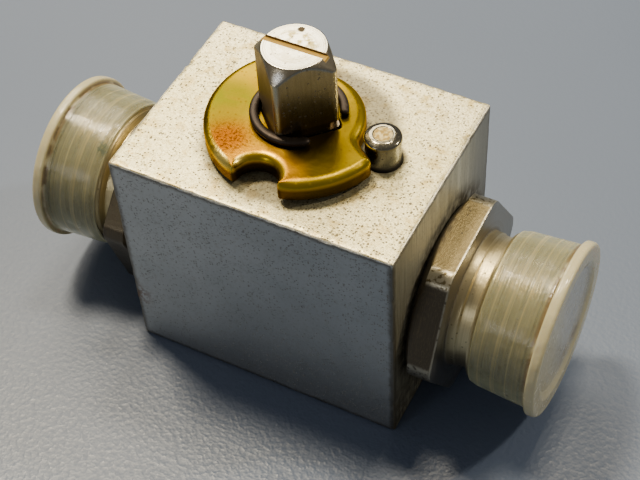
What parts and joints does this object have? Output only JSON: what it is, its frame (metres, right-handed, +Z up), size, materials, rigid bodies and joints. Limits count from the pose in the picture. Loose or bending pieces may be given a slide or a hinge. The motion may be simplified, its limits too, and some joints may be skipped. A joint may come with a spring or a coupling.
{
  "type": "block ball valve",
  "caption": "Square-block ball valve with a slotted square stem, stop disc and pin, hexagonal tube-end connectors and flanged dust caps, handle removed.",
  "frame": {"origin": "centre of the block's underside, which is the middle of the bottom of the part's box", "axes": "+X along the ports towards the right-hand cap, +Z up the stem, +Y towards the back of the block"},
  "size_m": [0.0816, 0.032, 0.0544],
  "materials": {
    "zinc_plated_block": "zinc-plated machined steel, satin, with dark specks, fine scratches and bright worn edges",
    "zinc_plated_connector": "zinc-plated turned steel with a warm golden tint and black grime in the corners",
    "stem_steel": "plated turned steel, bright on top with turning rings, darker flats, golden dirt in the slot",
    "gold_chromate": "yellow chromate over pressed steel, shifting between gold, olive and orange",
    "spring_steel": "dark phosphated spring steel, satin",
    "pin_steel": "ground steel dowel with a golden-brown end",
    "chromed_ball": "polished hard chrome",
    "seat_plastic": "acetal, natural white",
    "seal_rubber": "black nitrile rubber",
    "cap_plastic": "translucent yellowed polyethylene"
  },
  "bodies": {
    "valve_body": {"body_block": "zinc_plated_block", "stop_pin": "pin_steel", "end_connector_right": "zinc_plated_connector", "end_connector_left": "zinc_plated_connector", "connector_o_ring_right": "seal_rubber", "connector_o_ring_left": "seal_rubber", "ball_seat_right": "seat_plastic", "ball_seat_left": "seat_plastic", "seat_o_ring_right": "seal_rubber", "seat_o_ring_left": "seal_rubber"},
    "stem_assembly": {"stem": "stem_steel", "stem_thrust_washer": "seat_plastic", "stem_o_ring_lower": "seal_rubber", "stem_o_ring_upper": "seal_rubber", "stem_backup_ring": "seat_plastic", "stop_disc": "gold_chromate", "retaining_ring": "spring_steel"},
    "ball_body": {"ball": "chromed_ball"},
    "right_cap": {"dust_cap_right": "cap_plastic"},
    "left_cap": {"dust_cap_left": "cap_plastic"}
  },
  "joints": [
    {"name": "stem_turn", "type": "hinge", "parent": "valve_body", "child": "stem_assembly", "pos_m": [0, 0, 0.0385], "axis": [0, 0, 1], "range_deg": [-90, 0]},
    {"name": "ball_turn", "type": "hinge", "parent": "valve_body", "child": "ball_body", "pos_m": [0, 0, 0.0163], "axis": [0, 0, 1], "range_deg": [-90, 0]},
    {"name": "right_cap_pull", "type": "slide", "parent": "valve_body", "child": "right_cap", "axis": [1, 0, 0], "range_m": [0, 0.02]},
    {"name": "left_cap_pull", "type": "slide", "parent": "valve_body", "child": "left_cap", "axis": [-1, 0, 0], "range_m": [0, 0.02]}
  ],
  "couplings": [
    {"joint": "ball_turn", "follows": "stem_turn", "ratio": 1}
  ]
}
